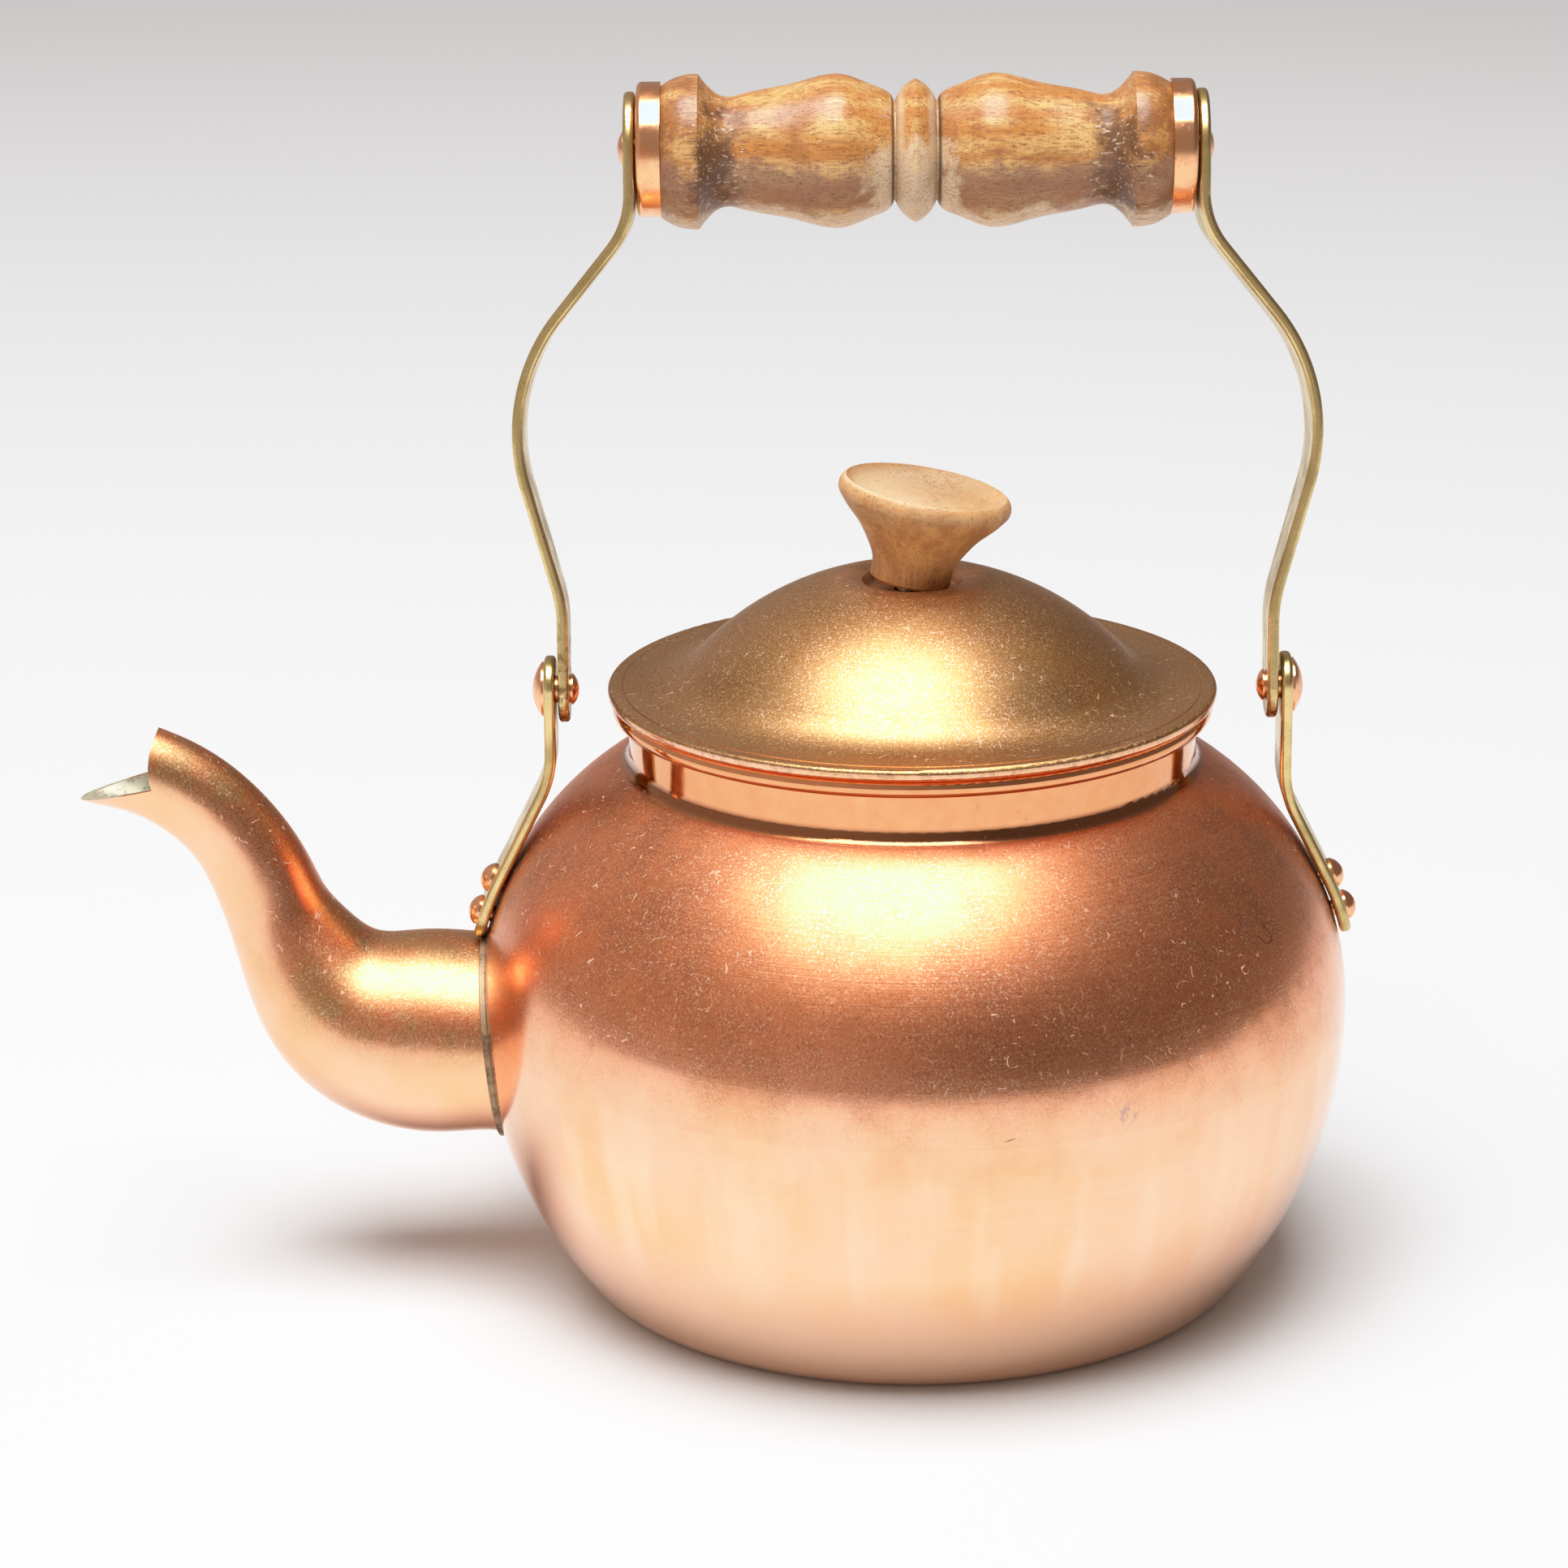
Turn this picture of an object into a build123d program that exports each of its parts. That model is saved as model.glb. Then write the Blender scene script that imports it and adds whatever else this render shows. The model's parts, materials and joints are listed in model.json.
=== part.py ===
"""Copper kettle with a swinging brass bail, a turned wooden grip and a lift-off lid.

Sizes are millimetres. The origin is the middle of the base, +Z is up and the spout
points along -X. Profiles of turned pieces are drawn as (radius, height on the axis).
"""

import os
from math import acos, asin, cos, degrees, radians, sin, sqrt

from build123d import *

# Sheet, gaps and clearances
SHEET = 1.0  # copper sheet of the body, lid and spout
GAP = 0.3  # air between pieces that sit against each other
RUNNING = 0.05  # radial clearance of a pin that turns in its hole
CUT_REACH = 180.0  # past every piece, for shapes that only cut material away
SAME_LENGTH = 0.01  # edges whose lengths differ by less are taken as equal

# Body
BODY_R = 80.0
BODY_MID_Z = 53.0  # height of the widest ring
SHOULDER_ARC_R = 52.2
BASE_EDGE_R = 7.0
NECK_R = 51.6
NECK_FILLET_R = 3.0
LIP_BEAD_R = 1.7
LIP_BEAD_X = 52.9
LIP_TOP_Z = 111.1
MOUTH_EDGE_R = 0.9  # round on the mouth's inner edge

# Lid
HEM_INNER_R = 52.2
HEM_OUTER_R = 55.3
HEM_HEIGHT = 2.0
HEM_EDGE_R = 0.8
LID_GAP = 0.1  # the hem rests on the lip with a film of air between
BRIM_TOP_Z = 113.2
BRIM_LAP = 0.3  # length of flat brim inside the rolled hem
BRIM_COVE_R = 13.0  # cove between the flat brim and the dome
DOME_R = 54.4
DOME_CENTRE_Z = 80.2
CROWN_R = 14.5  # the dome stops here and rolls over into the knob's seat
CREST = (9.1, 132.3)  # (radius, height) of the seat's rim
SEAT_R = 8.0
SEAT_Z = 130.6
SEAT_FILLET_R = 0.8
SCREW_HOLE_R = 3.2
RING_OUTER_R = 50.0
RING_SHEET = 0.8
RING_BOTTOM_Z = 103.0

# Knob, which leans because its screw has worked loose
KNOB_LEAN = 10.0
KNOB_BASE_X = -0.4
KNOB_BASE_Z = 132.1
KNOB_FOOT_R = 7.3
KNOB_FOOT_CHAMFER = 0.4
KNOB_STEM_H = 2.0
KNOB_WAIST = (8.7, 6.1)  # (radius, height) on the flare between the stem and the rim
KNOB_FLARE = (11.45, 10.1)
KNOB_SHOULDER = (15.0, 14.1)  # where the flare meets the rim
KNOB_RIM = (15.75, 16.1)  # the rim's widest ring
KNOB_TOP = (14.7, 17.7)  # crest between the rim and the dished top
KNOB_DISH_H = 15.4
SCREW_R = 2.0
SCREW_DEPTH = 9.0  # length of screw inside the knob
WASHER_R = 5.0
WASHER_T = 0.8
WASHER_TOP_H = -3.7
SCREW_HEAD_R = 4.0
SCREW_HEAD_H = 2.2

# Bail
PIVOT_Z = 112.0
BAIL_LEAN = 9.7  # how far the bail leans back towards +Y at rest
BAIL_SHIFT = 1.0  # the pivots and the bail sit this far off centre towards +X
GRIP_HEIGHT = 97.3  # from the pivots to the grip's axis
STRAP_T = 2.0
STRAP_PIVOT_X = 65.2  # outer face of a strap at the pivot
STRAP_TOP_X = 52.2  # outer face of a strap at the grip
STRAP_KNEE = (76.4, 54.3)  # where the two slanted runs of a strap would meet
STRAP_LOW_BEND_H = 15.5
STRAP_HIGH_BEND_H = 84.2
STRAP_BEND_RADII = (25.0, 35.0, 14.0)
STRAP_LOW_R = 6.0  # half width, and end radius, at the pivot
STRAP_HIGH_R = 10.3
STRAP_EDGE_R = 0.7

# Grip, ferrules and rod
ROD_R = 2.5
ROD_HEAD = (3.35, 1.3)  # radius and height
FERRULE_OUTER_X = 49.9
FERRULE_LENGTH = 4.3
FERRULE_R = 12.05
FERRULE_SHEET = 0.8
FERRULE_EDGE_R = 1.0
GRIP_DROP = 0.5  # the worn wood sits this far below the rod's axis
GRIP_BORE_R = 3.1
TENON_R = 10.6
GRIP_END = (11.7, 45.6)  # (radius, distance from the middle) along the wood
GRIP_COLLAR_CROWN = (13.3, 42.8)
GRIP_COLLAR = (13.8, 38.9)
GRIP_COVE = (10.35, 30.8)
GRIP_FLANK = (12.2, 21.5)
GRIP_SWELL = (13.7, 13.4)
GRIP_BREAST = (11.6, 7.4)
GRIP_GROOVE = (8.9, 3.9)
GRIP_BEAD_R = 12.8
GRIP_BEAD_SIDE = (11.5, 2.0)
GRIP_BEAD_HALF = 3.7

# Brackets and rivets
RIVET_EDGE_SHARE = 0.2  # share of a rivet head's height that is its straight edge
TAIL_GAP = 0.1  # air between a bracket rivet's tail and the sheet
BRACKET_T = 2.1
BRACKET_WIDTH = 12.0
BRACKET_TOP_Z = 118.0
BRACKET_INNER_X = 65.75
BRACKET_BEND_R = 20.0
BRACKET_LEAVES_ANGLE = 26.5  # on the shoulder's arc, where the bracket leaves the body
BRACKET_END_ANGLE = 12.8
BRACKET_END_R = 5.4
BRACKET_EDGE_R = 0.8
BRACKET_RIVET_ANGLES = (24.8, 17.8)
BRACKET_RIVET_SHANK_R = 1.5
BRACKET_RIVET_HEAD = (2.75, 2.0)
BRACKET_RIVET_TAIL = (2.2, 1.2)
PIVOT_SHANK_R = 2.5
PIVOT_HEAD = (5.0, 2.2)
PIVOT_TAIL = (2.85, 1.4)

# Spout: (x, z, heading in degrees, half height, half width) of each oval section.
# A heading of 180 points along -X and a heading of 90 points up.
SPOUT_STATIONS = (
    (-72.0, 45.6, 180, 19.4, 19.4),
    (-88.0, 46.0, 178, 18.9, 18.9),
    (-102.2, 48.6, 162, 16.8, 16.8),
    (-109.2, 54.1, 145, 14.5, 14.5),
    (-113.8, 62.1, 128, 11.8, 11.8),
    (-117.6, 71.4, 111, 9.6, 9.3),
    (-120.5, 78.5, 113, 9.2, 8.4),
    (-124.4, 85.0, 126, 8.7, 7.7),
    (-130.4, 91.3, 140, 8.5, 7.2),
    (-140.0, 96.9, 153, 8.4, 6.9),
    (-155.0, 104.0, 155, 8.4, 6.9),
)
SEAM_BEAD = 0.9  # solder standing proud of the spout and of the body
MOUTH_TOP = (-136.4, 107.0)
MOUTH_BULGE = (-138.7, 101.5)
MOUTH_CORNER = (-138.4, 95.2)
TONGUE_END = (-154.0, 91.4)

SHOULDER_X = BODY_R - SHOULDER_ARC_R
BAIL_UP = Vector(0, sin(radians(BAIL_LEAN)), cos(radians(BAIL_LEAN)))
BAIL_CENTRE = Vector(BAIL_SHIFT, 0, PIVOT_Z)
BAIL_PLANE = Plane(origin=BAIL_CENTRE, x_dir=(1, 0, 0), z_dir=Vector(1, 0, 0).cross(BAIL_UP))
GRIP_CENTRE = BAIL_CENTRE + BAIL_UP * GRIP_HEIGHT


def turning_plane(origin, axis):
    """Sketch plane whose local Y is a turning axis that lies square to the Y direction."""
    across = Vector(0, 1, 0)
    return Plane(origin=origin, x_dir=across, z_dir=across.cross(Vector(axis)))


def body_section(inset=0.0, mode=Mode.ADD):
    """Half of the body's section, set in from its outer surface by the inset."""
    edge_reach = BODY_R - BASE_EDGE_R
    edge_drop = BODY_MID_Z - BASE_EDGE_R
    edge_x = sqrt(edge_reach**2 - edge_drop**2)
    edge_angle = degrees(asin(edge_drop / edge_reach))
    fillet_x = NECK_R + NECK_FILLET_R
    fillet_reach = SHOULDER_ARC_R + NECK_FILLET_R
    fillet_angle = degrees(acos((fillet_x - SHOULDER_X) / fillet_reach))
    fillet_z = BODY_MID_Z + fillet_reach * sin(radians(fillet_angle))
    with BuildLine() as outline:
        Line((0, inset), (edge_x, inset))
        CenterArc((edge_x, BASE_EDGE_R), BASE_EDGE_R - inset, -90, 90 - edge_angle)
        CenterArc((0, BODY_MID_Z), BODY_R - inset, -edge_angle, edge_angle)
        CenterArc((SHOULDER_X, BODY_MID_Z), SHOULDER_ARC_R - inset, 0, fillet_angle)
        neck = CenterArc(
            (fillet_x, fillet_z), NECK_FILLET_R + inset, 180 + fillet_angle, -fillet_angle
        )
        Polyline(neck @ 1, (NECK_R - inset, LIP_TOP_Z), (0, LIP_TOP_Z), (0, inset))
    make_face(outline.edges(), mode=mode)


def body_form(growth=0.0):
    """The body filled solid, grown outwards by the given amount."""
    with BuildPart() as form:
        with BuildSketch(Plane.XZ):
            body_section(-growth)
        revolve(axis=Axis.Z)
    return form.part


def spout_form(growth=0.0):
    """The spout filled solid from inside the body to past its mouth."""
    with BuildPart() as form:
        for x, z, heading, half_height, half_width in SPOUT_STATIONS:
            along = Vector(cos(radians(heading)), 0, sin(radians(heading)))
            with BuildSketch(Plane(origin=(x, 0, z), x_dir=(0, 1, 0), z_dir=along)):
                Ellipse(half_width + growth, half_height + growth)
        loft()
    return form.part


def cap(radius, height, face, way):
    """Points and end tangents of a domed end that stands on a face, from its middle outwards."""
    edge = height * RIVET_EDGE_SHARE
    rise = height - edge
    sphere_r = (radius**2 + rise**2) / (2 * rise)
    middle_r = radius / 2
    middle_h = height - sphere_r + sqrt(sphere_r**2 - middle_r**2)
    points = [
        (0, face + way * height),
        (middle_r, face + way * middle_h),
        (radius, face + way * edge),
    ]
    tangents = [(1, 0), (sqrt(sphere_r**2 - radius**2), -way * radius)]
    return points, tangents


def rivet(origin, axis, shank_r, hold, head, tail):
    """Rivet whose head stands on the origin; head and tail are (radius, height)."""
    head_points, head_tangents = cap(*head, 0, 1)
    tail_points, tail_tangents = cap(*tail, -hold, -1)
    with BuildPart() as piece:
        with BuildSketch(turning_plane(origin, axis)):
            with BuildLine():
                Spline(*head_points, tangents=head_tangents)
                Polyline(
                    head_points[-1],
                    (head[0], 0),
                    (shank_r, 0),
                    (shank_r, -hold),
                    (tail[0], -hold),
                    tail_points[-1],
                )
                Spline(*tail_points, tangents=tail_tangents)
                Line(tail_points[0], head_points[0])
            make_face()
        revolve(axis=Axis(origin, axis))
    return piece.part


def bracket_rivets(side):
    """The two rivets that hold one bracket; side is -1 at the spout, +1 at the rear."""
    face_r = SHOULDER_ARC_R + GAP + BRACKET_T
    inside_r = SHOULDER_ARC_R - SHEET - TAIL_GAP
    rivets = []
    for angle in BRACKET_RIVET_ANGLES:
        axis = Vector(side * cos(radians(angle)), 0, sin(radians(angle)))
        origin = Vector(side * SHOULDER_X, 0, BODY_MID_Z) + axis * face_r
        rivets.append(
            rivet(
                origin,
                axis,
                BRACKET_RIVET_SHANK_R,
                face_r - inside_r,
                BRACKET_RIVET_HEAD,
                BRACKET_RIVET_TAIL,
            )
        )
    return rivets


def pivot_rivet(side):
    """The rivet that a strap swings on, fast in its bracket."""
    head_x = BRACKET_INNER_X + BRACKET_T
    hold = head_x - (STRAP_PIVOT_X - STRAP_T - GAP)
    origin = BAIL_CENTRE + Vector(side * head_x, 0, 0)
    return rivet(origin, (side, 0, 0), PIVOT_SHANK_R, hold, PIVOT_HEAD, PIVOT_TAIL)


def bracket(side, rivets):
    """Flat brass bracket that follows the shoulder, then stands up to hold the pivot."""
    leaves = radians(BRACKET_LEAVES_ANGLE)
    arc_r = SHOULDER_ARC_R + GAP
    foot = (SHOULDER_X + arc_r * cos(leaves), BODY_MID_Z + arc_r * sin(leaves))
    upright_x = BRACKET_INNER_X + side * BAIL_SHIFT
    corner_z = foot[1] + (foot[0] - upright_x) * cos(leaves) / sin(leaves)
    with BuildPart() as piece:
        with BuildSketch(Plane.XZ):
            with BuildLine() as inner_line:
                FilletPolyline(
                    (upright_x, BRACKET_TOP_Z),
                    (upright_x, corner_z),
                    foot,
                    radius=BRACKET_BEND_R,
                )
                CenterArc(
                    (SHOULDER_X, BODY_MID_Z),
                    arc_r,
                    BRACKET_LEAVES_ANGLE,
                    BRACKET_END_ANGLE - BRACKET_LEAVES_ANGLE,
                )
                offset(amount=BRACKET_T, side=Side.LEFT)
            make_face()
        extrude(amount=BRACKET_WIDTH / 2, both=True)
        corners = piece.edges().filter_by(lambda edge: abs(edge.length - BRACKET_T) < SAME_LENGTH)
        fillet(corners, BRACKET_END_R)
        fillet(piece.edges(), BRACKET_EDGE_R)
        if side < 0:
            mirror(about=Plane.YZ, mode=Mode.REPLACE)
        add(rivets, mode=Mode.SUBTRACT)
        add(pivot_rivet(side), mode=Mode.SUBTRACT)
    return piece


def strap(side):
    """One bent brass strap of the bail, wider at the grip than at the pivot."""
    with BuildPart() as piece:
        with BuildSketch(BAIL_PLANE):
            with BuildLine():
                FilletPolyline(
                    (side * STRAP_PIVOT_X, -STRAP_LOW_R),
                    (side * STRAP_PIVOT_X, STRAP_LOW_BEND_H),
                    (side * STRAP_KNEE[0], STRAP_KNEE[1]),
                    (side * STRAP_TOP_X, STRAP_HIGH_BEND_H),
                    (side * STRAP_TOP_X, GRIP_HEIGHT + STRAP_HIGH_R),
                    radius=STRAP_BEND_RADII,
                )
                offset(amount=STRAP_T, side=Side.LEFT if side > 0 else Side.RIGHT)
            make_face()
        extrude(amount=STRAP_HIGH_R, both=True)
        flank = Plane(origin=BAIL_PLANE.origin, x_dir=BAIL_PLANE.z_dir, z_dir=(-1, 0, 0))
        with BuildSketch(flank):
            Circle(STRAP_LOW_R)
            with Locations((0, GRIP_HEIGHT)):
                Circle(STRAP_HIGH_R)
            make_hull()
        extrude(amount=BODY_R, both=True, mode=Mode.INTERSECT)
        fillet(piece.edges(), STRAP_EDGE_R)
        with BuildSketch(flank):
            Circle(PIVOT_SHANK_R + RUNNING)
            with Locations((0, GRIP_HEIGHT)):
                Circle(ROD_R)
        extrude(amount=BODY_R, both=True, mode=Mode.SUBTRACT)
    return piece


def ferrule(side):
    """Copper cup pressed over the end of the wood."""
    axis = Vector(side, 0, 0)
    face = GRIP_CENTRE + axis * FERRULE_OUTER_X
    with BuildPart() as piece:
        with BuildSketch(turning_plane(face, axis)):
            with BuildLine():
                Polyline(
                    (ROD_R + RUNNING, 0),
                    (FERRULE_R, 0),
                    (FERRULE_R, -FERRULE_LENGTH),
                    (FERRULE_R - FERRULE_SHEET, -FERRULE_LENGTH),
                    (FERRULE_R - FERRULE_SHEET, -FERRULE_SHEET),
                    (ROD_R + RUNNING, -FERRULE_SHEET),
                    close=True,
                )
            make_face()
        revolve(axis=Axis(face, axis))
        rim = piece.edges().filter_by(GeomType.CIRCLE).sort_by(SortBy.RADIUS)[-2:]
        fillet(rim.sort_by(Axis.X)[-1 if side > 0 else 0], FERRULE_EDGE_R)
    return piece


# Body shell: spun from sheet, its mouth rolled outwards over a wire
spout_solid = spout_form()
body_solid = body_form()
rivets_at_spout = bracket_rivets(-1)
rivets_at_rear = bracket_rivets(1)

with BuildPart() as body_shell:
    with BuildSketch(Plane.XZ) as section:
        body_section()
        body_section(SHEET, mode=Mode.SUBTRACT)
        with Locations((LIP_BEAD_X, LIP_TOP_Z - LIP_BEAD_R)):
            Circle(LIP_BEAD_R)
            Rectangle(LIP_BEAD_X - NECK_R, LIP_BEAD_R, align=(Align.MAX, Align.MIN))
        mouth_edge = section.vertices().sort_by_distance((NECK_R - SHEET, LIP_TOP_Z, 0))[0]
        fillet(mouth_edge, MOUTH_EDGE_R)
    revolve(axis=Axis.Z)
    add(spout_form(-SHEET), mode=Mode.SUBTRACT)
    add(rivets_at_spout + rivets_at_rear, mode=Mode.SUBTRACT)

# Spout: formed tube with an open-topped pouring tongue, cut to sit on the body
with BuildPart() as spout:
    add(spout_solid)
    add(spout_form(-SHEET), mode=Mode.SUBTRACT)
    add(body_solid, mode=Mode.SUBTRACT)
    with BuildSketch(Plane.XZ):
        with BuildLine():
            ThreePointArc(MOUTH_TOP, MOUTH_BULGE, MOUTH_CORNER)
            Polyline(
                MOUTH_CORNER,
                TONGUE_END,
                (-CUT_REACH, TONGUE_END[1]),
                (-CUT_REACH, CUT_REACH),
                (MOUTH_TOP[0], CUT_REACH),
                MOUTH_TOP,
            )
        make_face()
    extrude(amount=BODY_R, both=True, mode=Mode.SUBTRACT)

# Spout seam: bead of solder in the corner between the spout's root and the body
spout_bracket = bracket(-1, rivets_at_spout)
rear_bracket = bracket(1, rivets_at_rear)
with BuildPart() as spout_seam:
    add(spout_form(SEAM_BEAD))
    add(body_form(SEAM_BEAD), mode=Mode.INTERSECT)
    add([spout_solid, body_solid, spout_bracket.part], mode=Mode.SUBTRACT)

# Rivets of the brackets and of the bail's pivots
with BuildPart() as spout_bracket_rivets:
    add(rivets_at_spout)
with BuildPart() as rear_bracket_rivets:
    add(rivets_at_rear)
with BuildPart() as spout_pivot_rivet:
    add(pivot_rivet(-1))
with BuildPart() as rear_pivot_rivet:
    add(pivot_rivet(1))

# Bail: two straps joined by a rod that carries the grip
spout_strap = strap(-1)
rear_strap = strap(1)
with BuildPart() as handle_rod:
    rod_end = GRIP_CENTRE + Vector(STRAP_TOP_X, 0, 0)
    add(rivet(rod_end, (1, 0, 0), ROD_R, 2 * STRAP_TOP_X, ROD_HEAD, ROD_HEAD))

# Grip: turned wood with tenons inside the copper ferrules
spout_ferrule = ferrule(-1)
rear_ferrule = ferrule(1)
WOOD_CENTRE = GRIP_CENTRE - BAIL_UP * GRIP_DROP
TENON_END_X = FERRULE_OUTER_X - FERRULE_SHEET
with BuildPart() as grip:
    with BuildSketch(turning_plane(WOOD_CENTRE, (1, 0, 0))):
        with BuildLine():
            bead_foot = (GRIP_GROOVE[0], GRIP_BEAD_HALF)
            ThreePointArc((GRIP_BEAD_R, 0), GRIP_BEAD_SIDE, bead_foot)
            Line(bead_foot, GRIP_GROOVE)
            Spline(
                GRIP_GROOVE,
                GRIP_BREAST,
                GRIP_SWELL,
                GRIP_FLANK,
                GRIP_COVE,
                GRIP_COLLAR,
                tangents=[(1, 0.25), (1, 0.7)],
            )
            ThreePointArc(GRIP_COLLAR, GRIP_COLLAR_CROWN, GRIP_END)
            Polyline(
                GRIP_END,
                (TENON_R, GRIP_END[1]),
                (TENON_R, TENON_END_X),
                (0, TENON_END_X),
                (0, 0),
                (GRIP_BEAD_R, 0),
            )
        make_face()
        mirror(about=Plane.XZ)
    revolve(axis=Axis(WOOD_CENTRE, (1, 0, 0)))
    with BuildSketch(Plane(origin=WOOD_CENTRE, z_dir=(1, 0, 0))):
        Circle(GRIP_BORE_R)
    extrude(amount=BODY_R, both=True, mode=Mode.SUBTRACT)

# Lid shell: domed sheet with a rolled hem and a pressed seat for the knob
cove_centre_z = BRIM_TOP_Z + BRIM_COVE_R
cove_centre_x = sqrt((DOME_R + BRIM_COVE_R) ** 2 - (cove_centre_z - DOME_CENTRE_Z) ** 2)
cove_angle = degrees(asin((cove_centre_z - DOME_CENTRE_Z) / (DOME_R + BRIM_COVE_R)))
crown_angle = degrees(acos(CROWN_R / DOME_R))
with BuildPart() as lid_shell:
    with BuildSketch(Plane.XZ):
        with BuildLine():
            Line((HEM_INNER_R + BRIM_LAP, BRIM_TOP_Z), (cove_centre_x, BRIM_TOP_Z))
            CenterArc((cove_centre_x, cove_centre_z), BRIM_COVE_R, -90, cove_angle - 90)
            dome = CenterArc((0, DOME_CENTRE_Z), DOME_R, cove_angle, crown_angle - cove_angle)
            crest = TangentArc(dome @ 1, CREST, tangent=dome % 1)
            FilletPolyline(crest @ 1, (SEAT_R, SEAT_Z), (0, SEAT_Z), radius=SEAT_FILLET_R)
            offset(amount=SHEET, side=Side.LEFT)
        make_face()
        hem_centre = ((HEM_INNER_R + HEM_OUTER_R) / 2, LIP_TOP_Z + LID_GAP + HEM_HEIGHT / 2)
        with Locations(hem_centre):
            RectangleRounded(HEM_OUTER_R - HEM_INNER_R, HEM_HEIGHT, HEM_EDGE_R)
    revolve(axis=Axis.Z)
    with Locations((0, 0, SEAT_Z)):
        Cylinder(SCREW_HOLE_R, 4 * SHEET, mode=Mode.SUBTRACT)

# Lid ring: plain hoop under the lid that locates it in the neck
with BuildPart() as lid_ring:
    with BuildSketch(Plane.XY.offset(RING_BOTTOM_Z)):
        Circle(RING_OUTER_R)
        Circle(RING_OUTER_R - RING_SHEET, mode=Mode.SUBTRACT)
    extrude(amount=BRIM_TOP_Z - SHEET - RING_BOTTOM_Z)

# Knob, screw and washer, turned about the leaning axis
KNOB_UP = Vector(sin(radians(KNOB_LEAN)), 0, cos(radians(KNOB_LEAN)))
KNOB_BASE = Vector(KNOB_BASE_X, 0, KNOB_BASE_Z)
KNOB_AXIS = Axis(KNOB_BASE, KNOB_UP)
KNOB_PLANE = turning_plane(KNOB_BASE, KNOB_UP)
with BuildPart() as knob_screw:
    with BuildSketch(KNOB_PLANE):
        head_top = WASHER_TOP_H - WASHER_T
        with BuildLine():
            Polyline(
                (0, SCREW_DEPTH),
                (SCREW_R, SCREW_DEPTH - SCREW_R / 2),
                (SCREW_R, head_top),
                (SCREW_HEAD_R, head_top),
            )
            head_bottom = head_top - SCREW_HEAD_H
            Spline((SCREW_HEAD_R, head_top), (0, head_bottom), tangents=[(0, -1), (-1, 0)])
            Line((0, head_bottom), (0, SCREW_DEPTH))
        make_face()
    revolve(axis=KNOB_AXIS)

with BuildPart() as knob_washer:
    with BuildSketch(KNOB_PLANE):
        with Locations((SCREW_R, WASHER_TOP_H)):
            Rectangle(WASHER_R - SCREW_R, WASHER_T, align=(Align.MIN, Align.MAX))
    revolve(axis=KNOB_AXIS)

with BuildPart() as knob:
    with BuildSketch(KNOB_PLANE):
        with BuildLine():
            stem = Polyline(
                (0, 0),
                (KNOB_FOOT_R - KNOB_FOOT_CHAMFER, 0),
                (KNOB_FOOT_R, KNOB_FOOT_CHAMFER),
                (KNOB_FOOT_R, KNOB_STEM_H),
            )
            flare = Spline(
                stem @ 1, KNOB_WAIST, KNOB_FLARE, KNOB_SHOULDER, tangents=[(0, 1), (1, 1.6)]
            )
            rim = ThreePointArc(flare @ 1, KNOB_RIM, KNOB_TOP)
            Spline(rim @ 1, (0, KNOB_DISH_H), tangents=[(-1, -1), (-1, 0)])
            Line((0, KNOB_DISH_H), (0, 0))
        make_face()
    revolve(axis=KNOB_AXIS)
    add(knob_screw.part, mode=Mode.SUBTRACT)

PIECES = {
    "body_shell": body_shell,
    "spout": spout,
    "spout_seam": spout_seam,
    "spout_bracket": spout_bracket,
    "rear_bracket": rear_bracket,
    "spout_bracket_rivets": spout_bracket_rivets,
    "rear_bracket_rivets": rear_bracket_rivets,
    "spout_pivot_rivet": spout_pivot_rivet,
    "rear_pivot_rivet": rear_pivot_rivet,
    "spout_strap": spout_strap,
    "rear_strap": rear_strap,
    "handle_rod": handle_rod,
    "grip": grip,
    "spout_ferrule": spout_ferrule,
    "rear_ferrule": rear_ferrule,
    "lid_shell": lid_shell,
    "lid_ring": lid_ring,
    "knob": knob,
    "knob_screw": knob_screw,
    "knob_washer": knob_washer,
}
os.makedirs("parts", exist_ok=True)
for name, piece in PIECES.items():
    piece.part.label = name
    export_step(piece.part, f"parts/{name}.step")
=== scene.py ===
"""The looks of a copper kettle: worn copper, brass straps and turned wood, on a pale floor."""

import json
import math

import bpy
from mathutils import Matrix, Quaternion, Vector


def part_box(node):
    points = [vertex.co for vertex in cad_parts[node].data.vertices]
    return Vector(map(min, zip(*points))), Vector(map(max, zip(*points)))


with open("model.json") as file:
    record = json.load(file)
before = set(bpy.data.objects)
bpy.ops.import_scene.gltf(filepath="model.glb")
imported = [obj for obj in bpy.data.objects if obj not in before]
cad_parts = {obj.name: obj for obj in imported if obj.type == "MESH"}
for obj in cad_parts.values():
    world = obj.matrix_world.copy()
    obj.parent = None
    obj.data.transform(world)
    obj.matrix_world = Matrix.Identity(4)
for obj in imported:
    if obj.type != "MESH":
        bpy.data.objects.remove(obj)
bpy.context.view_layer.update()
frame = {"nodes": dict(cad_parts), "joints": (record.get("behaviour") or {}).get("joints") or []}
MM = 0.001

# Linear colours of the copper, its film and what lies on it.
COPPER_CLEAN = (0.98, 0.555, 0.37, 1)
COPPER_PALE = (0.99, 0.665, 0.47, 1)
COPPER_WARM = (0.95, 0.50, 0.27, 1)
COPPER_DEEP = (0.90, 0.38, 0.17, 1)
COPPER_DULL = (0.30, 0.20, 0.14, 1)
NECK_BRIGHT = (0.88, 0.42, 0.21, 1)
NECK_RUBBED = (0.78, 0.30, 0.12, 1)
NECK_PAINTED_SHADE = (0.22, 0.085, 0.04, 1)
FILM_RED = (0.84, 0.265, 0.10, 1)
FILM_BROWN = (0.54, 0.165, 0.07, 1)
FILM_OLIVE = (0.50, 0.275, 0.105, 1)
LID_BROWN = (0.43, 0.215, 0.082, 1)
RIM_WEAR = (0.16, 0.08, 0.045, 1)
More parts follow.
